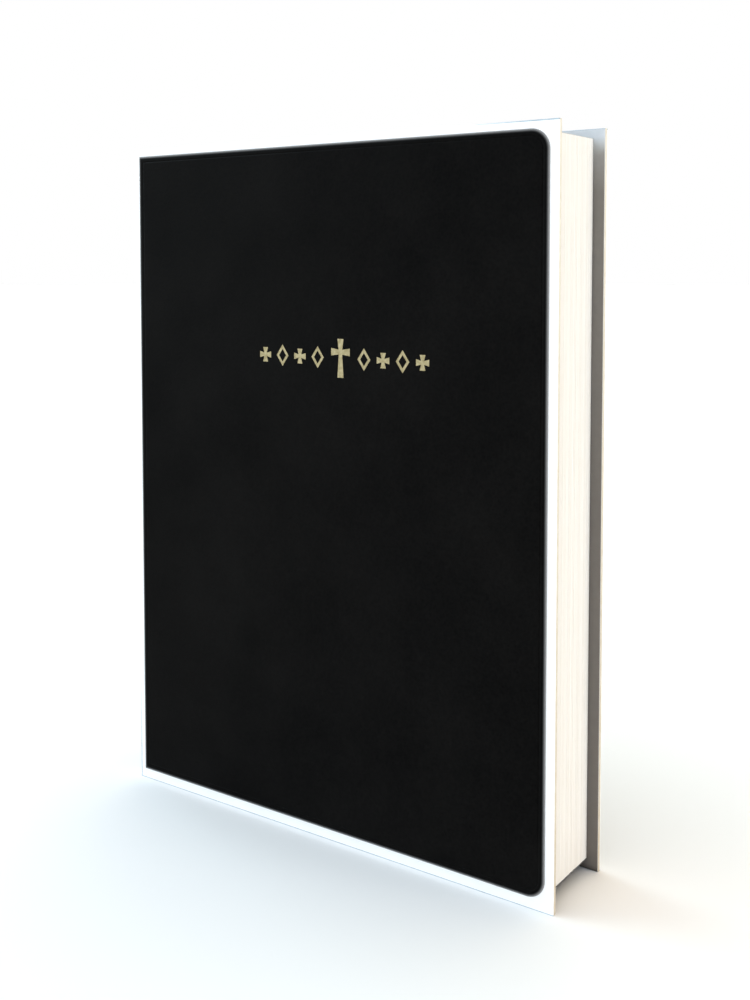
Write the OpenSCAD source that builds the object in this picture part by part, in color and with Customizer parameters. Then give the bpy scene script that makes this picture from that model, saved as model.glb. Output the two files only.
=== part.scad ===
// Case-bound bible, standing closed on its tail edge.
// X runs across the covers from the spine (-X) to the fore-edge (+X), Y runs through the
// thickness from the front cover (-Y) to the back cover (+Y), and Z is up.
// The origin is the centre of the bounding box's bottom face.

/* [Case] */
// Height of the covers, from tail to head
case_h = 240; // [200:1:280]
// Width of the covers, from the outside of the spine to the fore-edge
case_w = 176.4; // [140:0.2:200]
// Thickness of the closed book over its two covers
case_t = 34; // [26:0.5:50]
// Thickness of one finished cover
cover_t = 1.7; // [1.4:0.1:3]
// Thickness of the covering material
wrap_t = 0.25; // [0.15:0.05:0.4]
// Outside radius of the two long corners of the spine
spine_corner_r = 1.2; // [1:0.1:1.3]
// Width of the flexible joint between a spine corner and its board
joint_w = 1.8; // [1.6:0.1:4]
// Width of the covering folded over to the inside of the boards
turn_in = 15; // [8:1:25]

/* [Leather panels] */
// Thickness of the leather
panel_t = 0.4; // [0.2:0.1:0.6]
// Margin of a cover panel at the spine side and at the fore-edge
panel_side_margin = 2.9; // [2.8:0.1:12]
// Margin of every panel at the head
panel_head_margin = 2.5; // [1.5:0.1:12]
// Margin of every panel at the tail
panel_tail_margin = 3.6; // [1.5:0.1:12]
// Radius of the panels' corners at the fore-edge
panel_corner_r = 6.3; // [1:0.1:20]
// Distance from the spine's corners to the spine panel
spine_panel_margin = 3.4; // [3.2:0.1:8]
// Distance of the tooled line from a panel's edge
line_inset = 2; // [1:0.1:6]
// Width of the tooled line
line_w = 0.35; // [0.2:0.05:1]
// Depth of the tooled line
line_depth = 0.1; // [0.05:0.01:0.15]

/* [Gold foil] */
// Thickness of the foil
foil_t = 0.05; // [0.03:0.01:0.08]
// Depth to which the foil is stamped into the leather
stamp_depth = 0.12; // [0.09:0.01:0.15]
// Width of the front ornament
ornament_w = 70; // [40:1:100]
// Height of the front ornament's centre
ornament_z = 166; // [100:1:180]
// Distance of the ornament's centre from the middle of the cover, towards the fore-edge
ornament_shift = 8.6; // [-10:0.1:10]
// Height of the cross at the middle of the ornament
cross_h = 13; // [8:0.5:16]
// Height of the open lozenges beside the cross
motif_h = 7.6; // [4:0.2:9]
// Number of motifs on each side of the cross
wing_motifs = 4; // [2:1:4]
// Width of a gold rule on the spine
spine_rule_w = 0.8; // [0.4:0.1:2]
// Distance between the two rules of a pair
rule_pair_gap = 2.4; // [1.5:0.1:6]
// Distance from the ends of the spine rules to the edges of the spine panel
rule_end_gap = 2; // [1:0.1:6]

/* [Text block] */
// Number of sewn gatherings, half of them turning towards each cover
gathering_count = 24; // [8:2:28]
// Amount by which the covers stand past the leaves at the head
head_square = 3.1; // [2.5:0.1:6]
// Amount by which the covers stand past the leaves at the tail
tail_square = 3.4; // [2.5:0.1:6]
// Amount by which the covers stand past the leaves at the fore-edge
fore_square = 4; // [2:0.1:8]
// Thickness of a pastedown
pastedown_t = 0.15; // [0.1:0.01:0.2]
// Distance from a pastedown to the edges of its cover
pastedown_margin = 0.2; // [0.2:0.1:4]
// Thickness of a flyleaf
flyleaf_t = 0.12; // [0.08:0.01:0.2]
// Air between neighbouring sheets and gatherings
leaf_gap = 0.05; // [0.02:0.01:0.08]
// Depth of the sewn fold of the outermost gatherings
outer_fold_depth = 2.5; // [2:0.1:6]

/* [Spine lining] */
// Thickness of the flattened paper tube between the leaves and the spine board
hollow_t = 0.7; // [0.5:0.1:1.5]
// Thickness of the tube's wall
hollow_wall = 0.15; // [0.1:0.01:0.2]
// Thickness of the gauze on the backs of the gatherings
mull_t = 0.15; // [0.1:0.01:0.3]
// Thickness of the sewing tapes
tape_t = 0.2; // [0.15:0.01:0.4]
// Width of a sewing tape
tape_w = 12; // [6:1:20]
// Number of sewing tapes
tape_count = 4; // [2:1:5]
// Height of the bead of a head or tail band
band_h = 1.4; // [1.2:0.1:2]
// Depth of the bead of a head or tail band
band_depth = 1.8; // [1:0.1:2.2]
// Length of a band's skirt, glued to the backs of the gatherings
skirt_h = 12; // [6:1:20]

/* [Hidden] */
half_count = gathering_count / 2;

// The spine's outer face, set so that the bounding box with the spine panel is centred
spine_x = -(case_w - panel_t) / 2;
fore_x = spine_x + case_w;
front_y = -case_t / 2;

// A cover's hinge axis is the centre of the spine's rounded corner
hinge_x = spine_x + spine_corner_r;
hinge_y = front_y + spine_corner_r;
cover_x = hinge_x + joint_w;
cover_inner_y = front_y + cover_t;

board_t = cover_t - 2 * wrap_t;
spine_inner_x = spine_x + wrap_t + board_t;

// The text block, from the backs of its gatherings to its fore-edge
hollow_x = spine_inner_x + hollow_t;
mull_x = hollow_x + mull_t;
block_back_x = mull_x + tape_t;
block_fore_x = fore_x - fore_square;
block_z0 = tail_square;
block_z1 = case_h - head_square;
block_h = block_z1 - block_z0;
block_y = cover_inner_y + pastedown_t + flyleaf_t + 0.6 * leaf_gap;
pitch = -2 * block_y / gathering_count;
gathering_t = pitch - leaf_gap;

// The gatherings hinge on a mitre line, deeper towards the middle of the book
first_turn_x = block_back_x + outer_fold_depth;
flyleaf_x = first_turn_x - 3 * leaf_gap;
flyleaf_y = block_y - flyleaf_t;

// The spine panel, and the heights of the four pairs of rules on it
spine_panel_half = -front_y - spine_panel_margin;
spine_panel_z = [panel_tail_margin, case_h - panel_head_margin];
spine_rule_half = spine_panel_half - rule_end_gap;
rule_pair_places = [0.08, 0.3, 0.7, 0.92];
spine_rule_heights = [
    for (place = rule_pair_places, side = [-1, 1])
        place * case_h + (side * rule_pair_gap - spine_rule_w) / 2
];

// Sewing stations
tape_pitch = block_h / (tape_count + 1);
kettle_inset = skirt_h + 4;
mull_inset = 6;

// How far a cut runs past the solid it is made in
past = 1;

greyboard = "#8f877a";
covering = "#fbfaf6";
leather = "#161617";
gold = "#c8b982";
endpaper = "#8c8780";
bible_paper = "#faf6e8";
gauze = "#e6dfca";
kraft = "#b4936a";
cotton = "#efe9d8";
band_cloth = "#d9c27a";

function gathering_name(i) = str("gathering_", i < 10 ? "0" : "", i);
function turn_x(depth) = first_turn_x + (depth - 1) * pitch;
function depth_of(i) = min(i, gathering_count + 1 - i);

// ---------- helpers ----------

// A block between two limits on each axis
module slab(x, y, z) {
    translate([x[0], y[0], z[0]])
        cube([x[1] - x[0], y[1] - y[0], z[1] - z[0]]);
}

// Front-side geometry as it is, or mirrored to the back
module on_side(back) {
    if (back)
        mirror([0, 1, 0]) children();
    else
        children();
}

// A flat shape drawn in X and Z, given a thickness along Y from y0 to y1
module standing_sheet(y0, y1) {
    translate([0, y1, 0])
        rotate([90, 0, 0])
            linear_extrude(y1 - y0) children();
}

// ---------- boards ----------

module cover_board() {
    color(greyboard)
        slab([cover_x, fore_x - wrap_t],
             [front_y + wrap_t, front_y + wrap_t + board_t],
             [wrap_t, case_h - wrap_t]);
}

// The spine board's long edges are rounded about the hinge axes
module spine_board_section() {
    translate([spine_x + wrap_t, hinge_y])
        square([board_t, -2 * hinge_y]);
    for (side = [-1, 1])
        intersection() {
            translate([hinge_x, side * hinge_y])
                circle(r = spine_corner_r - wrap_t, $fn = 48);
            translate([hinge_x - spine_corner_r, side > 0 ? front_y : -hinge_y])
                square([spine_corner_r, spine_corner_r]);
        }
}

module spine_board() {
    color(greyboard)
        translate([0, 0, wrap_t])
            linear_extrude(case_h - 2 * wrap_t) spine_board_section();
}

// ---------- covering ----------

// One piece round the board, folded over at the head, the tail and the fore-edge
module cover_wrap() {
    color(covering)
        difference() {
            slab([cover_x, fore_x], [front_y, cover_inner_y], [0, case_h]);
            slab([cover_x - past, fore_x - wrap_t],
                 [front_y + wrap_t, front_y + wrap_t + board_t],
                 [wrap_t, case_h - wrap_t]);
            slab([cover_x - past, fore_x - turn_in],
                 [front_y + wrap_t + board_t / 2, cover_inner_y + past],
                 [turn_in, case_h - turn_in]);
        }
}

// The outline of the spine covering, a channel with two rounded corners
module spine_wrap_section() {
    difference() {
        union() {
            translate([spine_x, hinge_y])
                square([spine_corner_r, -2 * hinge_y]);
            for (side = [-1, 1])
                intersection() {
                    translate([hinge_x, side * hinge_y])
                        circle(r = spine_corner_r, $fn = 48);
                    translate([spine_x, side > 0 ? front_y : -hinge_y])
                        square([spine_corner_r, spine_corner_r]);
                }
        }
        translate([spine_x + wrap_t, hinge_y])
            square([case_w, -2 * hinge_y]);
        for (side = [-1, 1])
            translate([hinge_x, side * hinge_y])
                circle(r = spine_corner_r - wrap_t, $fn = 48);
    }
}

module spine_wrap() {
    color(covering) {
        linear_extrude(case_h) spine_wrap_section();
        for (z = [[0, wrap_t], [case_h - wrap_t, case_h]])
            slab([spine_x + wrap_t, spine_inner_x + wrap_t], [hinge_y, -hinge_y], z);
        for (z = [[0, turn_in], [case_h - turn_in, case_h]])
            slab([spine_inner_x, spine_inner_x + wrap_t], [hinge_y, -hinge_y], z);
    }
}

module joint_strip() {
    color(covering)
        slab([hinge_x, cover_x], [front_y, front_y + wrap_t], [0, case_h]);
}

// ---------- leather panels ----------

// Outline of a cover panel in X and Z: square corners at the spine, round ones at the fore-edge
module cover_panel_outline(inset = 0) {
    x0 = spine_x + panel_side_margin + inset;
    x1 = fore_x - panel_side_margin - inset;
    z0 = panel_tail_margin + inset;
    z1 = case_h - panel_head_margin - inset;
    r = panel_corner_r - inset;
    translate([x0, z0])
        square([x1 - r - x0, z1 - z0]);
    translate([x0, z0 + r])
        square([x1 - x0, z1 - z0 - 2 * r]);
    for (z = [z0 + r, z1 - r])
        translate([x1 - r, z])
            circle(r = r, $fn = 64);
}

// The fine line tooled just inside the panel's edge
module tooled_line() {
    standing_sheet(front_y - panel_t - past, front_y - panel_t + line_depth)
        difference() {
            cover_panel_outline(line_inset);
            cover_panel_outline(line_inset + line_w);
        }
}

module front_panel() {
    color(leather)
        difference() {
            standing_sheet(front_y - panel_t, front_y) cover_panel_outline();
            tooled_line();
            standing_sheet(front_y - panel_t - past, front_y - panel_t + stamp_depth)
                ornament_outline();
        }
}

module back_panel() {
    color(leather)
        mirror([0, 1, 0])
            difference() {
                standing_sheet(front_y - panel_t, front_y) cover_panel_outline();
                tooled_line();
            }
}

module spine_panel() {
    color(leather)
        difference() {
            slab([spine_x - panel_t, spine_x],
                 [-spine_panel_half, spine_panel_half],
                 spine_panel_z);
            for (z = spine_rule_heights)
                slab([spine_x - panel_t - past, spine_x - panel_t + stamp_depth],
                     [-spine_rule_half, spine_rule_half],
                     [z, z + spine_rule_w]);
        }
}

// ---------- gold foil ----------

// One arm of a cross, pointing up, that widens a little towards its end
module cross_arm(length, waist, flare) {
    polygon([[-waist, 0], [waist, 0], [flare, length], [-flare, length]]);
}

// A plain Latin cross, centred on its height
module latin_cross() {
    waist = cross_h * 0.055;
    flare = cross_h * 0.1;
    arm = cross_h * 0.3;
    foot = cross_h * 0.66;
    translate([0, foot - cross_h / 2]) {
        cross_arm(cross_h - foot, waist, flare);
        for (turn = [-90, 90])
            rotate(turn) cross_arm(arm, waist, flare);
        rotate(180) cross_arm(foot, waist, flare);
        square(2 * waist, center = true);
    }
}

module small_cross() {
    waist = motif_h * 0.06;
    for (turn = [0:90:270])
        rotate(turn) cross_arm(motif_h / 3, waist, motif_h * 0.15);
    square(2 * waist, center = true);
}

module lozenge(w, h) {
    polygon([[-w / 2, 0], [0, -h / 2], [w / 2, 0], [0, h / 2]]);
}

module open_lozenge() {
    w = motif_h * 0.7;
    open = 0.56;
    difference() {
        lozenge(w, motif_h);
        lozenge(w * open, motif_h * open);
    }
}

// One side of the ornament: lozenges and small crosses in turn, out to the ornament's end
module wing_outline() {
    last = ornament_w / 2 - motif_h / 3;
    first = cross_h * 0.3 + motif_h * 0.75;
    step = (last - first) / (wing_motifs - 1);
    for (i = [0:wing_motifs - 1])
        translate([first + i * step, 0])
            if (i % 2 == 0)
                open_lozenge();
            else
                small_cross();
}

module ornament_outline() {
    translate([spine_x + case_w / 2 + ornament_shift, ornament_z]) {
        latin_cross();
        wing_outline();
        mirror([1, 0]) wing_outline();
    }
}

module front_ornament() {
    foil_y = front_y - panel_t + stamp_depth;
    color(gold)
        standing_sheet(foil_y - foil_t, foil_y) ornament_outline();
}

module spine_rules() {
    foil_x = spine_x - panel_t + stamp_depth;
    color(gold)
        for (z = spine_rule_heights)
            slab([foil_x - foil_t, foil_x],
                 [-spine_rule_half, spine_rule_half],
                 [z, z + spine_rule_w]);
}

// ---------- endpapers ----------

// The sheet glued over the turn-ins, sunk between them onto the board
module pastedown() {
    color(endpaper) {
        slab([cover_x + leaf_gap, fore_x - pastedown_margin],
             [cover_inner_y, cover_inner_y + pastedown_t],
             [pastedown_margin, case_h - pastedown_margin]);
        slab([cover_x + leaf_gap, fore_x - turn_in],
             [cover_inner_y - wrap_t, cover_inner_y],
             [turn_in, case_h - turn_in]);
    }
}

module flyleaf() {
    color(endpaper)
        slab([flyleaf_x, block_fore_x],
             [flyleaf_y, flyleaf_y + flyleaf_t - leaf_gap / 2],
             [block_z0, block_z1]);
}

// ---------- text block ----------

// The turning leaves of one gathering, counted from the outside of the book inwards
module turning_leaves(depth) {
    y = block_y + (depth - 1) * pitch + leaf_gap / 2;
    slab([turn_x(depth), block_fore_x], [y, y + gathering_t], [block_z0, block_z1]);
}

module gathering(i) {
    color(bible_paper)
        on_side(i > half_count) turning_leaves(depth_of(i));
}

// The sewn back part of one gathering, with its rounded fold
module sewn_fold(depth) {
    y = block_y + (depth - 1) * pitch + leaf_gap / 2;
    r = gathering_t / 2;
    slab([block_back_x + r, turn_x(depth) - leaf_gap], [y, y + gathering_t], [block_z0, block_z1]);
    translate([block_back_x + r, y + r, block_z0])
        cylinder(h = block_h, r = r, $fn = 32);
}

module sewn_folds() {
    color(bible_paper)
        for (i = [1:gathering_count])
            on_side(i > half_count) sewn_fold(depth_of(i));
}

// ---------- sewing and spine lining ----------

module sewing_tapes() {
    color(cotton)
        for (i = [1:tape_count]) {
            z = block_z0 + i * tape_pitch;
            slab([mull_x, block_back_x], [block_y, -block_y], [z - tape_w / 2, z + tape_w / 2]);
        }
}

// A thread crosses the gatherings beside each tape and at both kettle stitches
module sewing_thread() {
    beside_tape = tape_w / 2 + tape_t;
    tape_threads = [
        for (i = [1:tape_count], side = [-1, 1]) block_z0 + i * tape_pitch + side * beside_tape
    ];
    kettle_threads = [block_z0 + kettle_inset, block_z1 - kettle_inset];
    color(cotton)
        for (z = concat(tape_threads, kettle_threads))
            translate([mull_x + tape_t / 2, -block_y, z])
                rotate([90, 0, 0])
                    cylinder(h = -2 * block_y, d = tape_t, $fn = 16);
}

module mull() {
    color(gauze)
        slab([hollow_x, mull_x],
             [block_y, -block_y],
             [block_z0 + mull_inset, block_z1 - mull_inset]);
}

module hollow_tube() {
    z = [turn_in + past, case_h - turn_in - past];
    color(kraft)
        difference() {
            slab([spine_inner_x, hollow_x], [block_y, -block_y], z);
            slab([spine_inner_x + hollow_wall, hollow_x - hollow_wall],
                 [block_y + hollow_wall, -block_y - hollow_wall],
                 [z[0] - past, z[1] + past]);
        }
}

// A round-topped bead on the end of the backs, and a skirt glued down behind them
module end_band_section() {
    r = band_depth / 2;
    translate([r, band_h - r])
        circle(r = r, $fn = 32);
    square([band_depth, band_h - r]);
}

module end_band() {
    color(band_cloth) {
        translate([block_back_x, -block_y, block_z1])
            rotate([90, 0, 0])
                linear_extrude(-2 * block_y)
                    intersection() {
                        end_band_section();
                        square([band_depth, band_h]);
                    }
        slab([mull_x, block_back_x],
             [block_y, -block_y],
             [block_z1 - skirt_h, block_z1 + band_h - band_depth / 2]);
    }
}

module tailband() {
    translate([0, 0, block_z0 + block_z1])
        mirror([0, 0, 1]) end_band();
}

// ---------- the assembly ----------

on_side(false) cover_board();  // front_board
on_side(true) cover_board();  // back_board
spine_board();
on_side(false) cover_wrap();  // front_cover_wrap
on_side(true) cover_wrap();  // back_cover_wrap
spine_wrap();
on_side(false) joint_strip();  // front_joint
on_side(true) joint_strip();  // back_joint
front_panel();
back_panel();
spine_panel();
front_ornament();
spine_rules();
on_side(false) pastedown();  // front_pastedown
on_side(true) pastedown();  // back_pastedown
on_side(false) flyleaf();  // front_flyleaf
on_side(true) flyleaf();  // back_flyleaf
for (i = [1:gathering_count])
    gathering(i);
sewn_folds();
sewing_tapes();
sewing_thread();
mull();
hollow_tube();
end_band();  // headband
tailband();
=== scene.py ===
"""Looks for a case-bound bible that stands closed on its tail edge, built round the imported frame.

Everything is in metres. X runs from the spine to the fore-edge, Y from the front cover to the
back cover, and Z is up.
"""
import math
import random

import bmesh
import bpy
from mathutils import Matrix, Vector


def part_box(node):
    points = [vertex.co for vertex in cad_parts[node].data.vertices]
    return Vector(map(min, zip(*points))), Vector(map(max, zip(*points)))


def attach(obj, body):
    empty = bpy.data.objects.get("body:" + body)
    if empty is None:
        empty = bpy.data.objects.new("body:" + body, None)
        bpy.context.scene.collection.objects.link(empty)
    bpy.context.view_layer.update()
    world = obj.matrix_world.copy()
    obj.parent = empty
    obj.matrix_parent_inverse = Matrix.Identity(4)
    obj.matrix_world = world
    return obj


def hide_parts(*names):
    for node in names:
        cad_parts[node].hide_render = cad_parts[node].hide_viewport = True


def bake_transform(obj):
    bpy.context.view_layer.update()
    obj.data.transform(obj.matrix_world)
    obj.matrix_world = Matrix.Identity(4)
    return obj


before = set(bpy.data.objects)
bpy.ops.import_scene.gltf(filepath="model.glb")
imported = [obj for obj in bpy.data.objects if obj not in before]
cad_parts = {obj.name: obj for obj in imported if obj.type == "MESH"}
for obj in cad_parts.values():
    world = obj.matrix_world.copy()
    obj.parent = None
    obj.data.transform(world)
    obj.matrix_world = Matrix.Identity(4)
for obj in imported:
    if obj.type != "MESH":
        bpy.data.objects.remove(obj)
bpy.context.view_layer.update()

MM = 0.001
random.seed(7)


# ---------- camera ----------

camera_azimuth = math.radians(34.94)
camera_tilt = math.radians(3.08)
camera_distance = 0.4179
camera_aside = 0.0088
camera_height = 0.1969
camera_lens = 43.2
camera_shift = -0.17


def make_camera():
    """A camera to the right of the front cover, a little above the book's middle."""
    forward = Vector((-math.sin(camera_azimuth), math.cos(camera_azimuth), 0))
    right = Vector((math.cos(camera_azimuth), math.sin(camera_azimuth), 0))
    data = bpy.data.cameras.new("camera")
    data.lens = camera_lens
    data.shift_y = camera_shift
    data.clip_start = 0.01
    camera = bpy.data.objects.new("camera", data)
    camera.location = right * camera_aside - forward * camera_distance
    camera.location.z = camera_height
    camera.rotation_euler = (math.pi / 2 - camera_tilt, 0, camera_azimuth)
    bpy.context.collection.objects.link(camera)
    bpy.context.scene.camera = camera


make_camera()


# ---------- places from the frame ----------

def limits(node):
    """The lowest and highest corner of a CAD node."""
    low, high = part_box(node)
    return Vector(low), Vector(high)


spine_low = limits("spine_wrap")[0]
cover_low, cover_high = limits("front_cover_wrap")
folds_low, folds_high = limits("sewn_folds")
gatherings = sorted(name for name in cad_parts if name.startswith("gathering_"))
leaves_high = limits(gatherings[0])[1]
half_thickness = -cover_low.y


# ---------- materials ----------

def srgb(red, green, blue):
    """A colour given as 0 to 255 values, turned into the linear colour that shaders use."""
    def linear(value):
        value /= 255
        if value <= 0.04045:
            return value / 12.92
        return ((value + 0.055) / 1.055) ** 2.4
    return (linear(red), linear(green), linear(blue), 1)


class Graph:
    """A material, and short ways to add the nodes that it is made of."""

    def __init__(self, name):
        self.material = bpy.data.materials.new(name)
        self.material.use_nodes = True
        self.tree = self.material.node_tree
        self.shader = self.tree.nodes["Principled BSDF"]
        self.place = self.add("ShaderNodeTexCoord").outputs["Object"]

    def follow_rest_place(self):
        """Makes the textures follow a piece that bends, by the place that each point has at rest."""
        self.place = self.add("ShaderNodeAttribute", attribute_name="rest_place").outputs["Vector"]

    def feed(self, socket, value):
        """Links another node's socket to this one, or sets this one to a plain value."""
        if isinstance(value, bpy.types.NodeSocket):
            self.tree.links.new(value, socket)
        else:
            socket.default_value = value

    def add(self, kind, inputs=None, **settings):
        """A new node with some of its inputs fed and some of its settings changed."""
        node = self.tree.nodes.new(kind)
        for name, value in settings.items():
            setattr(node, name, value)
        for name, value in (inputs or {}).items():
            self.feed(node.inputs[name], value)
        return node

    def finish(self, **sockets):
        """Sets the shader's own sockets and gives back the material."""
        for name, value in sockets.items():
            self.feed(self.shader.inputs[name.replace("_", " ")], value)
        return self.material

    def scaled(self, size, stretch):
        """The place, measured in units of size and drawn out along some axes."""
        scale = [1 / (size * s) for s in stretch]
        return self.add("ShaderNodeMapping", {"Vector": self.place, "Scale": scale}).outputs[0]

    def noise(self, size, detail=2.0, stretch=(1, 1, 1)):
        """Soft noise with features of about size, drawn out along some axes."""
        vector = self.scaled(size, stretch)
        inputs = {"Vector": vector, "Scale": 1, "Detail": detail}
        return self.add("ShaderNodeTexNoise", inputs).outputs["Fac"]

    def cells(self, size, feature="SMOOTH_F1"):
        """Rounded pebbles of about size: low at their middles and high between them."""
        vector = self.scaled(size, (1, 1, 1))
        inputs = {"Vector": vector, "Scale": 1, "Randomness": 0.9}
        return self.add("ShaderNodeTexVoronoi", inputs, feature=feature).outputs["Distance"]

    def stripes(self, size, axis):
        """Even bands across an axis, one for each length of size."""
        vector = self.scaled(size, (1, 1, 1))
        one_band_per_unit = 2 * math.pi / 20
        inputs = {"Vector": vector, "Scale": one_band_per_unit}
        return self.add("ShaderNodeTexWave", inputs, bands_direction=axis).outputs["Fac"]

    def span(self, factor, low, high, start=0.0, end=1.0):
        """A factor between start and end, spread between low and high."""
        inputs = {"Value": factor, "From Min": start, "From Max": end, "To Min": low, "To Max": high}
        return self.add("ShaderNodeMapRange", inputs).outputs[0]

    def colours(self, factor, low, high, start=0.3, end=0.7):
        """A blend from one colour to another, spread over the factor from start to end."""
        ramp = self.add("ShaderNodeValToRGB", {"Fac": factor})
        ramp.color_ramp.elements[0].position = start
        ramp.color_ramp.elements[0].color = low
        ramp.color_ramp.elements[1].position = end
        ramp.color_ramp.elements[1].color = high
        return ramp.outputs["Color"]

    def mixed(self, factor, low, high):
        """One colour where the factor is 0 and another where it is 1."""
        node = self.add("ShaderNodeMix", data_type="RGBA")
        for name, value in (("Factor_Float", factor), ("A_Color", low), ("B_Color", high)):
            socket = next(s for s in node.inputs if s.identifier == name)
            self.feed(socket, value)
        return next(s for s in node.outputs if s.identifier == "Result_Color")

    def fade(self, value, stops):
        """A colour that changes along a value, through stops that each pair a value and a colour."""
        first = stops[0][0]
        last = stops[-1][0]
        node = self.add("ShaderNodeValToRGB", {"Fac": self.span(value, 0, 1, first, last)})
        elements = node.color_ramp.elements
        for place, colour in stops[1:-1]:
            elements.new((place - first) / (last - first))
        for element, (place, colour) in zip(elements, stops):
            element.color = colour
        return node.outputs["Color"]

    def shaded(self, colour, factor):
        """A colour made lighter or darker by a factor."""
        node = self.add("ShaderNodeVectorMath", {"Vector": colour, "Scale": factor}, operation="SCALE")
        return node.outputs["Vector"]

    def along(self, axis):
        """The place on the object along one axis."""
        return self.add("ShaderNodeSeparateXYZ", {"Vector": self.place}).outputs[axis]

    def combine(self, operation, a, b):
        """Two values put together by one of the Math node's operations."""
        node = self.add("ShaderNodeMath", operation=operation)
        self.feed(node.inputs[0], a)
        self.feed(node.inputs[1], b)
        return node.outputs[0]

    def weighed(self, a, weight_a, b, weight_b):
        """The sum of two values, each times its weight."""
        part_a = self.combine("MULTIPLY", a, weight_a)
        part_b = self.combine("MULTIPLY", b, weight_b)
        return self.combine("ADD", part_a, part_b)

    def above(self, axis, limit):
        """1 where the place along an axis is above a limit, and 0 elsewhere."""
        return self.combine("GREATER_THAN", self.along(axis), limit)

    def below(self, axis, limit):
        """1 where the place along an axis is below a limit, and 0 elsewhere."""
        return self.combine("LESS_THAN", self.along(axis), limit)

    def bump(self, height, depth, over=None):
        """Surface relief of a depth, on top of another relief if one is given."""
        node = self.add("ShaderNodeBump", {"Height": height, "Distance": depth, "Strength": 1})
        if over is not None:
            self.feed(node.inputs["Normal"], over)
        return node.outputs["Normal"]


def covering_material():
    """Smooth white covering paper. Painted shade greys its tail edge, its head near the fore-edge and
    the foot of the spine's corners, and painted warm light and shade turn the fore-edges of the boards
    creamy, darker towards the foot."""
    head_line = 0.4 * MM
    tail_line = 0.25 * MM
    corner_width = 1.0 * MM
    corner_depth = 1.1 * MM
    skin = 0.12 * MM
    white_rim = 0.5 * MM
    head_fade = (38 * MM, 10 * MM)
    corner_fade = (10 * MM, 55 * MM)
    g = Graph("covering_paper")
    fibre = g.noise(0.35 * MM, 3, (3, 1, 1))
    soft = g.noise(18 * MM, 2)
    patchy = g.span(g.noise(2.5 * MM, 3), 0.8, 1, 0.3, 0.6)
    from_middle = g.combine("ABSOLUTE", g.along("Y"), 0)

    at_head = g.above("Z", cover_high.z - head_line)
    fade_start = cover_high.x - head_fade[0]
    fade_end = cover_high.x - head_fade[1]
    towards_fore_edge = g.span(g.along("X"), 0, 1, fade_start, fade_end)
    on_head = g.combine("MULTIPLY", at_head, towards_fore_edge)
    on_tail = g.below("Z", tail_line)
    on_spine = g.below("X", spine_low.x + corner_width)
    at_side = g.combine("GREATER_THAN", from_middle, half_thickness - corner_depth)
    towards_tail = g.span(g.along("Z"), 1, 0, *corner_fade)
    on_corner = g.combine("MULTIPLY", g.combine("MULTIPLY", on_spine, at_side), towards_tail)
    on_edge = g.combine("MAXIMUM", g.combine("MAXIMUM", on_head, on_tail), on_corner)
    white = g.colours(soft, srgb(247, 247, 246), srgb(251, 251, 251))
    # painted shade: blue-grey lines along the head, the tail and the foot of the spine's corners,
    # broken up by noise
    edge_shade = g.mixed(on_corner, srgb(160, 180, 192), srgb(120, 145, 160))
    white_with_edge_shade = g.mixed(g.combine("MULTIPLY", on_edge, patchy), white, edge_shade)

    # painted warm light and shade: cream on the fore-edges of the boards, darker towards the foot
    at_fore_edge = g.above("X", cover_high.x - skin)
    inner_part = g.combine("LESS_THAN", from_middle, half_thickness - white_rim)
    painted_warm_edge = g.combine("MULTIPLY", g.combine("MULTIPLY", at_fore_edge, inner_part), patchy)
    painted_warm_tones = ((0, srgb(204, 190, 166)), (cover_high.z, srgb(226, 219, 202)))
    return g.finish(
        Base_Color=g.mixed(painted_warm_edge, white_with_edge_shade, g.fade(g.along("Z"), painted_warm_tones)),
        Roughness=g.span(fibre, 0.5, 0.66),
        Normal=g.bump(soft, 0.12 * MM, g.bump(fibre, 0.006 * MM)),
        Specular_IOR_Level=0.35,
    )


def leather_material():
    """Fine black bookbinding leather: small pebbles, pores, and a soft uneven dye."""
    g = Graph("black_leather")
    pebbles = g.cells(0.95 * MM)
    creases = g.noise(2.6 * MM, 4)
    pores = g.noise(0.22 * MM, 2)
    dye = g.noise(28 * MM, 3)
    swell = g.noise(45 * MM, 1)
    grain = g.weighed(pebbles, 0.8, creases, 0.5)
    tone = g.weighed(dye, 0.5, grain, 0.45)
    normal = g.bump(swell, 0.5 * MM)
    normal = g.bump(grain, 0.05 * MM, normal)
    normal = g.bump(pores, 0.008 * MM, normal)
    return g.finish(
        Base_Color=g.colours(tone, srgb(1, 1, 1), srgb(17, 16, 15), 0.25, 0.75),
        Roughness=g.span(grain, 0.5, 0.72, 0.2, 0.9),
        Normal=normal,
        Specular_IOR_Level=0.03,
    )


def leather_edge_material():
    """The pared edge of the leather: burnished black, and rubbed grey where it is thinnest."""
    g = Graph("pared_leather")
    rub = g.noise(1.6 * MM, 3)
    wear = g.add("ShaderNodeAttribute", attribute_name="wear").outputs["Fac"]
    worn = g.combine("MULTIPLY", g.combine("POWER", wear, 2), g.span(rub, 0.8, 1))
    burnished = g.colours(rub, srgb(1, 1, 1), srgb(4, 4, 4))
    return g.finish(
        Base_Color=g.mixed(worn, burnished, srgb(176, 175, 174)),
        Roughness=g.span(rub, 0.5, 0.65),
        Normal=g.bump(rub, 0.01 * MM),
        Specular_IOR_Level=0.03,
    )


def foil_material():
    """Stamped gold foil, a little worn, that follows the grain under it."""
    g = Graph("gold_foil")
    grain = g.cells(0.95 * MM)
    worn = g.noise(1.1 * MM, 4)
    return g.finish(
        Base_Color=g.colours(worn, srgb(146, 134, 97), srgb(178, 166, 130)),
        Roughness=g.span(worn, 0.3, 0.5),
        Normal=g.bump(grain, 0.02 * MM),
        Metallic=0.75,
    )


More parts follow.
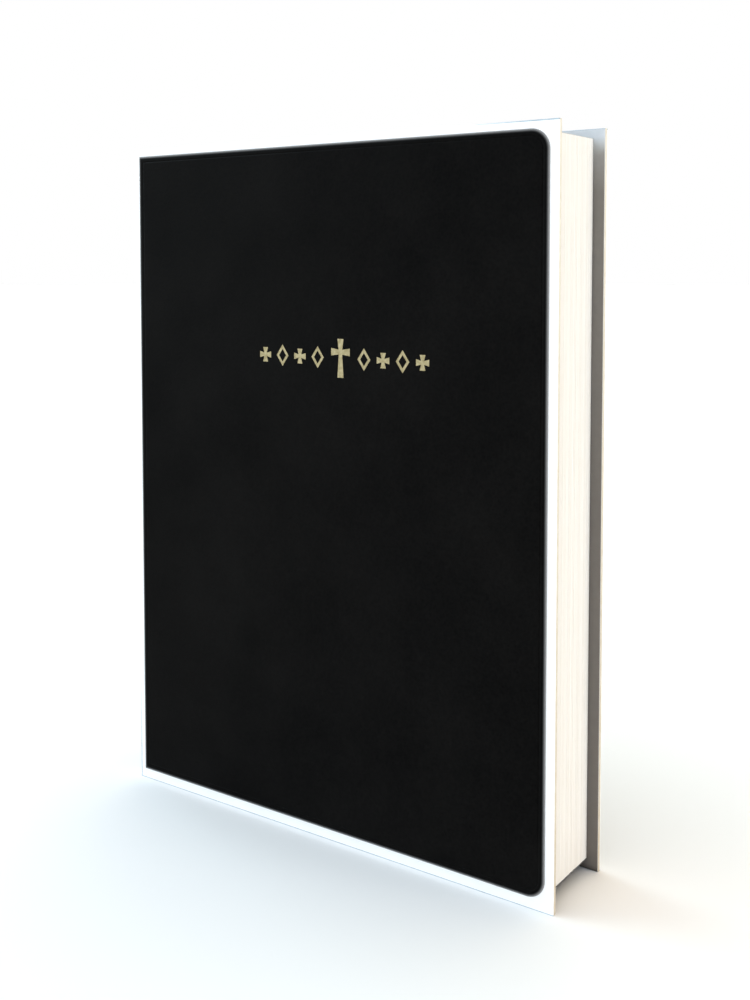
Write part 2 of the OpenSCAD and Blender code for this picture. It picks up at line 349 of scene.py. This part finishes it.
def page_material():
    """Thin cream paper. Its layers show as fine lines on the trimmed edges. Painted shade darkens the
    head against the light from above, and the tail and the foot of the fore-edge as contact shade."""
    skin = 0.12 * MM
    foot_height = 0.5 * MM
    foot_depth = 0.3 * MM
    flat = (100000, 1, 100000)
    g = Graph("bible_paper")
    g.follow_rest_place()
    leaves = g.noise(0.16 * MM, 2, flat)
    bundles = g.noise(1.3 * MM, 2, flat)
    cloud = g.noise(30 * MM, 2)
    layers = g.weighed(leaves, 0.45, bundles, 0.55)
    tone = g.weighed(layers, 0.85, cloud, 0.15)
    clean = g.colours(tone, srgb(252, 248, 240), srgb(255, 252, 247), 0.34, 0.6)
    near_head = g.above("Z", folds_high.z - skin)
    near_tail = g.below("Z", folds_low.z + skin)
    at_fore_edge = g.above("X", leaves_high.x - foot_depth)
    at_foot = g.below("Z", folds_low.z + foot_height)
    # painted contact shade: the tail and the foot of the fore-edge are made much darker
    dark = g.combine("MAXIMUM", near_tail, g.combine("MULTIPLY", at_fore_edge, at_foot))
    # painted shade: the head is made darker against the light from above
    painted_shade_head = g.mixed(near_head, clean, g.shaded(clean, 0.66))
    return g.finish(
        Base_Color=g.mixed(dark, painted_shade_head, g.shaded(clean, 0.15)),
        Roughness=g.span(cloud, 0.72, 0.85),
        Normal=g.bump(layers, 0.02 * MM),
        Specular_IOR_Level=0.25,
    )


def endpaper_material(name, tones):
    """Heavier uncoated paper with visible fibres, in given tones that change with the height: a grey
    of painted shade, darker at the foot, and painted light where the tones hold it.
    """
    g = Graph(name)
    fibre = g.noise(0.5 * MM, 4, (1, 1, 2.5))
    cloud = g.noise(3 * MM, 3)
    grey = g.fade(g.along("Z"), tones)
    return g.finish(
        Base_Color=g.shaded(grey, g.span(cloud, 0.96, 1.04, 0.3, 0.7)),
        Roughness=g.span(fibre, 0.75, 0.9),
        Normal=g.bump(fibre, 0.02 * MM),
        Specular_IOR_Level=0.25,
    )


def board_material():
    """Grey pressed board with darker flecks."""
    g = Graph("greyboard")
    flecks = g.noise(0.6 * MM, 4)
    return g.finish(
        Base_Color=g.colours(flecks, srgb(112, 104, 92), srgb(168, 160, 146)),
        Roughness=g.span(flecks, 0.85, 0.95),
        Normal=g.bump(flecks, 0.05 * MM),
    )


def kraft_material():
    """Brown kraft paper with long fibres."""
    g = Graph("kraft_paper")
    fibre = g.noise(0.4 * MM, 4, (1, 1, 5))
    return g.finish(
        Base_Color=g.colours(fibre, srgb(158, 124, 88), srgb(190, 156, 114)),
        Roughness=g.span(fibre, 0.75, 0.88),
        Normal=g.bump(fibre, 0.02 * MM),
    )


def woven_material(name, thread, dark, light):
    """Plain weave with threads of one width, seen across the Y and Z axes."""
    g = Graph(name)
    weft = g.stripes(thread, "Y")
    warp = g.stripes(thread, "Z")
    weave = g.combine("MULTIPLY", weft, warp)
    slub = g.noise(thread * 3, 3)
    tone = g.weighed(weave, 0.6, slub, 0.4)
    return g.finish(
        Base_Color=g.colours(tone, dark, light, 0.2, 0.7),
        Roughness=g.span(tone, 0.95, 0.75),
        Normal=g.bump(weave, thread / 4),
    )


def band_material(name, dark, light):
    """Silk wound round the core of a head band."""
    g = Graph(name)
    threads = g.stripes(0.25 * MM, "Y")
    return g.finish(
        Base_Color=g.colours(threads, dark, light, 0.1, 0.8),
        Roughness=g.span(threads, 0.6, 0.42),
        Normal=g.bump(threads, 0.05 * MM),
        Sheen_Weight=0.3,
    )


covering = covering_material()
leather = leather_material()
leather_edge = leather_edge_material()
foil = foil_material()
pages = page_material()
greyboard = board_material()
kraft = kraft_material()

# Endpaper tones, as pairs of a height and a colour, painted: a grey of painted shade that is darker
# at the foot, and painted light that makes the head of the pastedowns pale
head = cover_high.z
# painted shade: grey throughout, and dark at the foot
shaded_tones = (
    (0, srgb(45, 41, 35)),
    (0.5 * MM, srgb(70, 65, 58)),
    (1.2 * MM, srgb(116, 111, 106)),
    (head / 2, srgb(119, 114, 109)),
    (head - 20 * MM, srgb(128, 124, 119)),
)
# painted light: the head of the pastedowns is pale, as if lit from above
painted_light_tones = (
    (head - 8 * MM, srgb(152, 150, 147)),
    (head - 5 * MM, srgb(184, 187, 188)),
    (head - 2.5 * MM, srgb(204, 209, 214)),
    (head, srgb(204, 209, 214)),
)
pasted_endpaper = endpaper_material("pasted_endpaper", shaded_tones + painted_light_tones)
loose_endpaper = endpaper_material("loose_endpaper", shaded_tones)

gauze = woven_material("mull_gauze", 0.9 * MM, srgb(196, 184, 154), srgb(238, 230, 208))
cotton = woven_material("cotton_tape", 0.4 * MM, srgb(214, 204, 178), srgb(246, 240, 224))
band_gold = band_material("band_gold", srgb(150, 118, 44), srgb(214, 184, 98))
band_cream = band_material("band_cream", srgb(214, 202, 172), srgb(250, 244, 226))


# ---------- CAD nodes that keep their own shape ----------

def dress(material, *nodes, edge=0.0):
    """Gives CAD nodes their material, and softly rounded edges where edge is a radius."""
    for name in nodes:
        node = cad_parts[name]
        for material_slot in node.material_slots:
            material_slot.material = material
        if edge:
            joined = node.modifiers.new("joined_faces", "WELD")
            joined.merge_threshold = 0.001 * MM
            soft = node.modifiers.new("soft_edges", "BEVEL")
            soft.width = edge
            soft.segments = 3
            soft.limit_method = "ANGLE"
            soft.angle_limit = math.radians(40)
            soft.harden_normals = True


dress(greyboard, "front_board", "back_board", "spine_board")
dress(covering, "front_cover_wrap", "back_cover_wrap", "spine_wrap", edge=0.15 * MM)
dress(foil, "front_ornament", "spine_rules")
dress(pasted_endpaper, "front_pastedown", "back_pastedown")
dress(kraft, "hollow_tube")
dress(gauze, "mull")
dress(cotton, "sewing_tapes", "sewing_thread")


# ---------- building in mesh code ----------

class Surface:
    """Collects closed shapes and makes one piece of them."""

    def __init__(self):
        self.points = []
        self.faces = []
        self.slots = []

    def add(self, points, faces, slot=0):
        first = len(self.points)
        self.points += points
        self.faces += [[first + i for i in face] for face in faces]
        self.slots += [slot] * len(faces)

    def piece(self, name, materials, smooth=40):
        mesh = bpy.data.meshes.new(name)
        mesh.from_pydata(self.points, [], self.faces)
        for material in materials:
            mesh.materials.append(material)
        mesh.polygons.foreach_set("material_index", self.slots)
        rest_place = mesh.attributes.new("rest_place", "FLOAT_VECTOR", "POINT")
        rest_place.data.foreach_set("vector", [c for point in self.points for c in point])
        work = bmesh.new()
        work.from_mesh(mesh)
        bmesh.ops.recalc_face_normals(work, faces=work.faces)
        work.to_mesh(mesh)
        work.free()
        mesh.shade_smooth()
        mesh.set_sharp_from_angle(angle=math.radians(smooth))
        made = bpy.data.objects.new(name, mesh)
        bpy.context.collection.objects.link(made)
        return made


def loft(sections):
    """Points and faces of a closed body through sections that have equally many points."""
    count = len(sections[0])
    points = [tuple(p) for section in sections for p in section]
    faces = []
    for s in range(len(sections) - 1):
        for i in range(count):
            j = (i + 1) % count
            a = s * count
            b = a + count
            faces.append((a + i, a + j, b + j, b + i))
    faces.append(tuple(range(count)))
    faces.append(tuple(range(len(points) - count, len(points))))
    return points, faces


def ribbon(path, thickness, z0, z1):
    """A thin sheet that stands on edge between two heights and follows a path in X and Y."""
    sections = []
    for i, place in enumerate(path):
        before = path[max(i - 1, 0)]
        after = path[min(i + 1, len(path) - 1)]
        along = Vector(after) - Vector(before)
        across = Vector((-along.y, along.x)).normalized() * thickness / 2
        x, y = place
        sections.append([
            (x - across.x, y - across.y, z0),
            (x + across.x, y + across.y, z0),
            (x + across.x, y + across.y, z1),
            (x - across.x, y - across.y, z1),
        ])
    return loft(sections)


# ---------- leaves ----------

leaves_per_gathering = 24
leaf_fill = 0.94
leaf_steps = 22
leaf_crowding = 1.6
flyleaf_start = 0.6 * MM
fold_turns = 6
trim_error = 0.03 * MM


def bend_leaves(piece):
    """Bakes the piece's place into its mesh; the leaves are not bent.
    """
    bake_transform(piece)


def leaf_path(x0, x1, y):
    """A straight path whose points are closest together in the gutter."""
    shares = [(i / leaf_steps) ** leaf_crowding for i in range(leaf_steps + 1)]
    return [(x0 + (x1 - x0) * share, y) for share in shares]


def make_gathering(index):
    """The leaves of one gathering, each a thin sheet of its own."""
    node = gatherings[index]
    low, high = limits(node)
    pitch = (high.y - low.y) / leaves_per_gathering
    surface = Surface()
    bundle_trim = random.gauss(0, trim_error)
    for leaf in range(leaves_per_gathering):
        y = low.y + (leaf + 0.5) * pitch
        x1 = high.x + min(bundle_trim + random.gauss(0, trim_error), 1.5 * trim_error)
        z0 = low.z + random.gauss(0, trim_error / 2)
        z1 = high.z + random.gauss(0, trim_error / 2)
        surface.add(*ribbon(leaf_path(low.x, x1, y), pitch * leaf_fill, z0, z1))
    piece = surface.piece(node.replace("gathering", "leaves"), [pages])
    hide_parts(node)
    bend_leaves(piece)


def folio_path(x_open, x_back, y_a, y_b, reach):
    """Round one folded sheet: in along one leaf, round the fold, and out along the other."""
    middle = (y_a + y_b) / 2
    radius = (y_b - y_a) / 2
    path = [(x_open, y_a)]
    for i in range(fold_turns + 1):
        angle = math.pi * i / fold_turns
        path.append((x_back + reach - radius * math.sin(angle), middle - radius * math.cos(angle)))
    path.append((x_open, y_b))
    return path


def make_folds():
    """The sewn back parts: in each gathering the sheets nest round one another."""
    surface = Surface()
    for node in gatherings:
        low, high = limits(node)
        pitch = (high.y - low.y) / leaves_per_gathering
        reach = (high.y - low.y) / 2
        for sheet in range(leaves_per_gathering // 2):
            y_a = low.y + (sheet + 0.5) * pitch
            y_b = high.y - (sheet + 0.5) * pitch
            path = folio_path(low.x, folds_low.x, y_a, y_b, reach)
            surface.add(*ribbon(path, pitch * leaf_fill, low.z, high.z))
    piece = surface.piece("folded_backs", [pages])
    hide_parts("sewn_folds")
    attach(piece, "spine")


def make_flyleaf(node):
    """The loose leaf of an endpaper, made like the leaves."""
    low, high = limits(node)
    middle = (low.y + high.y) / 2
    path = leaf_path(folds_low.x + flyleaf_start, high.x, middle)
    surface = Surface()
    surface.add(*ribbon(path, high.y - low.y, low.z, high.z))
    piece = surface.piece(node + "_sheet", [loose_endpaper])
    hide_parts(node)
    bend_leaves(piece)


for index in range(len(gatherings)):
    make_gathering(index)
make_folds()
make_flyleaf("front_flyleaf")
make_flyleaf("back_flyleaf")


# ---------- joints of the case ----------

joint_steps = 16
fold_thickness = 0.1 * MM
fold_start = 0.15 * MM
fold_gap = 0.12 * MM


def make_joint_skin(name):
    """The strip of covering between the spine and a cover."""
    low, high = limits(name)
    y = (low.y + high.y) / 2
    steps = [low.x + (high.x - low.x) * i / joint_steps for i in range(joint_steps + 1)]
    surface = Surface()
    surface.add(*ribbon([(x, y) for x in steps], high.y - low.y, low.z, high.z))
    piece = surface.piece(name + "_covering", [covering], smooth=60)
    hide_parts(name)
    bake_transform(piece)


def make_endpaper_fold(name, side):
    """The strip of endpaper that bridges the joint, from the leaves to the pastedown."""
    paste_low, paste_high = limits(name + "_pastedown")
    leaf_low, leaf_high = limits(name + "_flyleaf")
    x0 = folds_low.x + fold_start
    x1 = paste_low.x
    inner = paste_high.y if side > 0 else paste_low.y
    y0 = inner + side * fold_gap
    y1 = inner - side * fold_thickness / 2
    path = []
    for i in range(joint_steps + 1):
        t = i / joint_steps
        path.append((x0 + (x1 - x0) * t, y0 + (y1 - y0) * t))
    surface = Surface()
    surface.add(*ribbon(path, fold_thickness, leaf_low.z, leaf_high.z))
    piece = surface.piece(name + "_endpaper_fold", [loose_endpaper], smooth=60)
    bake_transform(piece)


for book_side, inward in (("front", 1), ("back", -1)):
    make_joint_skin(book_side + "_joint")
    make_endpaper_fold(book_side, inward)


# ---------- leather panels ----------

# How far in from the panel's outline, in mm, and what share of the leather's thickness is left
pared_edge = ((0, 0), (0, 0.2), (0.06, 0.42), (0.2, 0.62), (0.5, 0.8), (0.9, 0.92), (1.3, 0.98))
tooled_line = ((1.5, 1), (1.98, 1), (2.06, 0.84), (2.16, 0.76), (2.26, 0.84), (2.34, 1), (2.7, 1))
# How far in from the outline the leather is rubbed grey, in mm
worn_width = 1.1

least_radius = 0.05 * MM
corner_steps = 12
die_height = 1 * MM


def rounded_outline(low, high, inset, radius):
    """An outline in two directions with square corners at the first side and round ones at the
    other."""
    r = max(radius - inset, least_radius)
    right = high[0] - inset
    outline = [(low[0] + inset, low[1] + inset)]
    for centre, first in ((low[1] + inset + r, -90), (high[1] - inset - r, 0)):
        for i in range(corner_steps + 1):
            angle = math.radians(first + 90 * i / corner_steps)
            outline.append((right - r + r * math.cos(angle), centre + r * math.sin(angle)))
    outline.append((low[0] + inset, high[1] - inset))
    return outline


def make_panel(node, corner_radius, place):
    """A leather panel with a pared edge and a line tooled just inside it.

    place turns two directions on the panel and a height above the covering into a point.
    """
    low, high = place.limits
    surface = Surface()
    rings = []
    for inset, share in pared_edge + tooled_line:
        outline = rounded_outline(low, high, inset * MM, corner_radius)
        rings.append([place(u, v, share * place.thickness) for u, v in outline])
    points, faces = loft(rings)
    per_ring = len(rings[0])
    edge_faces = (len(pared_edge) - 1) * per_ring
    surface.add(points, faces)
    for i in range(edge_faces):
        surface.slots[i] = 1
    piece = surface.piece(node + "_leather", [leather, leather_edge], smooth=50)
    wear = piece.data.attributes.new("wear", "FLOAT", "POINT")
    wear_by_ring = [max(1 - inset / worn_width, 0) for inset, share in pared_edge + tooled_line]
    wear.data.foreach_set("value", [w for w in wear_by_ring for i in range(per_ring)])
    return piece


class Placing:
    """Where a panel lies: its two limits, its thickness, and the side that it faces."""

    def __init__(self, node, facing):
        low, high = limits(node)
        self.facing = facing
        if facing == "-X":
            self.limits = ((low.y, low.z), (high.y, high.z))
            self.base = high.x
            self.thickness = high.x - low.x
        else:
            self.limits = ((low.x, low.z), (high.x, high.z))
            self.base = high.y if facing == "-Y" else low.y
            self.thickness = high.y - low.y

    def __call__(self, u, v, height):
        if self.facing == "-X":
            return (self.base - height, u, v)
        if self.facing == "-Y":
            return (u, self.base - height, v)
        return (u, self.base + height, v)


def stamp(piece, node, outward):
    """Presses the outline of a foil node into the leather, so that the foil lies in it."""
    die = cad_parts[node].data.copy()
    direction = Vector(outward)
    heights = [v.co @ direction for v in die.vertices]
    middle = (min(heights) + max(heights)) / 2
    for vertex, height in zip(die.vertices, heights):
        if height > middle:
            vertex.co += direction * die_height
    tool = bpy.data.objects.new("stamping_die", die)
    bpy.context.collection.objects.link(tool)
    cut = piece.modifiers.new("stamp", "BOOLEAN")
    cut.object = tool
    cut.operation = "DIFFERENCE"
    cut.solver = "EXACT"
    bpy.context.view_layer.update()
    shape = piece.evaluated_get(bpy.context.evaluated_depsgraph_get())
    pressed = bpy.data.meshes.new_from_object(shape)
    piece.modifiers.remove(cut)
    piece.data = pressed
    bpy.data.objects.remove(tool)


def finish_panel(piece, node, body):
    """Puts a leather panel in its node's place, on the body that carries it."""
    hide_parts(node)
    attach(piece, body)


cover_corner = 6.3 * MM
spine_corner = 0.4 * MM

front_leather = make_panel("front_panel", cover_corner, Placing("front_panel", "-Y"))
stamp(front_leather, "front_ornament", (0, -1, 0))
finish_panel(front_leather, "front_panel", "front_cover")

back_leather = make_panel("back_panel", cover_corner, Placing("back_panel", "+Y"))
finish_panel(back_leather, "back_panel", "back_cover")

spine_leather = make_panel("spine_panel", spine_corner, Placing("spine_panel", "-X"))
stamp(spine_leather, "spine_rules", (-1, 0, 0))
finish_panel(spine_leather, "spine_panel", "spine")


# ---------- head and tail bands ----------

stripe_width = 1.25 * MM
steps_per_stripe = 4
least_swell = 0.92
dome_steps = 8


def band_section(x0, x1, z0, height, swell):
    """A round-topped outline that stands on z0; a negative height hangs from it."""
    half = (x1 - x0) / 2 * swell
    middle = (x0 + x1) / 2
    shoulder = abs(height) * swell - half
    sign = 1 if height > 0 else -1
    section = [(middle + half, z0), (middle + half, z0 + sign * shoulder / 2)]
    for i in range(dome_steps + 1):
        angle = math.pi * i / dome_steps
        rise = shoulder + half * math.sin(angle)
        section.append((middle + half * math.cos(angle), z0 + sign * rise))
    section.append((middle - half, z0 + sign * shoulder / 2))
    section.append((middle - half, z0))
    return section


def make_band(node, foot, height):
    """A core wound with silk in two colours, so that each stripe swells a little."""
    low, high = limits(node)
    x0 = folds_low.x
    stripes = round((high.y - low.y) / stripe_width)
    width = (high.y - low.y) / stripes
    sections = []
    for step in range(stripes * steps_per_stripe + 1):
        turn = step / steps_per_stripe
        swell = least_swell + (1 - least_swell) * abs(math.sin(math.pi * turn))
        outline = band_section(x0, high.x, foot, height, swell)
        sections.append([(x, low.y + turn * width, z) for x, z in outline])
    surface = Surface()
    surface.add(*loft(sections))
    faces_per_stripe = steps_per_stripe * len(sections[0])
    for i in range(stripes * faces_per_stripe):
        surface.slots[i] = i // faces_per_stripe % 2
    skirt_z = (low.z, foot) if height > 0 else (foot, high.z)
    skirt_x = (low.x + x0) / 2
    skirt = [(skirt_x, low.y), (skirt_x, high.y)]
    surface.add(*ribbon(skirt, x0 - low.x, *skirt_z), slot=1)
    piece = surface.piece(node + "_silk", [band_gold, band_cream], smooth=50)
    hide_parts(node)
    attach(piece, "spine")


headband_top = limits("headband")[1].z
tailband_bottom = limits("tailband")[0].z
make_band("headband", folds_high.z, headband_top - folds_high.z)
make_band("tailband", folds_low.z, tailband_bottom - folds_low.z)


# ---------- floor and light ----------

floor_radius = 12


def floor_material():
    """Plain pale floor, with hardly any change of tone."""
    g = Graph("studio_floor")
    soft = g.noise(0.4, 2)
    return g.finish(
        Base_Color=g.colours(soft, srgb(241, 241, 241), srgb(243, 243, 243)),
        Roughness=g.span(soft, 0.9, 0.95),
        Specular_IOR_Level=0.05,
    )


def make_floor():
    """A wide round floor under the book."""
    mesh = bpy.data.meshes.new("floor")
    work = bmesh.new()
    bmesh.ops.create_circle(work, cap_ends=True, radius=floor_radius, segments=64)
    work.to_mesh(mesh)
    work.free()
    mesh.materials.append(floor_material())
    floor = bpy.data.objects.new("floor", mesh)
    bpy.context.collection.objects.link(floor)


def make_sun(name, place, strength, colour, spread):
    """Soft parallel light from a direction, as from a large and distant diffuser."""
    data = bpy.data.lights.new(name, "SUN")
    data.energy = strength
    data.color = colour
    data.angle = math.radians(spread)
    sun = bpy.data.objects.new(name, data)
    sun.location = place
    sun.rotation_euler = (-Vector(place)).to_track_quat("-Z", "Y").to_euler()
    bpy.context.collection.objects.link(sun)


def make_world(bright, dim, dim_side, backdrop):
    """Light from all round, dimmer towards one side, and a backdrop past the end of the floor."""
    world = bpy.data.worlds.new("studio")
    world.use_nodes = True
    tree = world.node_tree
    place = tree.nodes.new("ShaderNodeTexCoord")
    turned = tree.nodes.new("ShaderNodeVectorMath")
    turned.operation = "DOT_PRODUCT"
    turned.inputs[1].default_value = Vector(dim_side).normalized()
    tree.links.new(place.outputs["Generated"], turned.inputs[0])
    share = tree.nodes.new("ShaderNodeMapRange")
    share.inputs["From Min"].default_value = -1
    tree.links.new(turned.outputs["Value"], share.inputs["Value"])
    tint = tree.nodes.new("ShaderNodeValToRGB")
    tint.color_ramp.elements[0].color = bright
    tint.color_ramp.elements[1].color = dim
    tree.links.new(share.outputs[0], tint.inputs["Fac"])
    light = tree.nodes["Background"]
    tree.links.new(tint.outputs["Color"], light.inputs["Color"])
    white = tree.nodes.new("ShaderNodeBackground")
    white.inputs["Color"].default_value = backdrop
    seen = tree.nodes.new("ShaderNodeLightPath")
    mix = tree.nodes.new("ShaderNodeMixShader")
    tree.links.new(seen.outputs["Is Camera Ray"], mix.inputs["Fac"])
    tree.links.new(light.outputs[0], mix.inputs[1])
    tree.links.new(white.outputs[0], mix.inputs[2])
    tree.links.new(mix.outputs[0], tree.nodes["World Output"].inputs["Surface"])
    bpy.context.scene.world = world


make_floor()
make_world(
    bright=(1.55, 1.64, 1.78, 1),
    dim=(0, 0, 0, 1),
    dim_side=(0.8, 0.6, 0),
    backdrop=(1, 1, 1, 1),
)
make_sun("cool_left", (-0.90, -0.10, 0.45), 1.87, (0.65, 0.92, 1.0), 60)
make_sun("warm_back", (0.30, 0.60, 0.75), 1.32, (1.0, 0.77, 0.42), 90)
make_sun("white_side", (0.95, 0.20, 0.15), 1.07, (1.0, 0.98, 1.0), 20)
bpy.context.scene.view_settings.view_transform = "Standard"
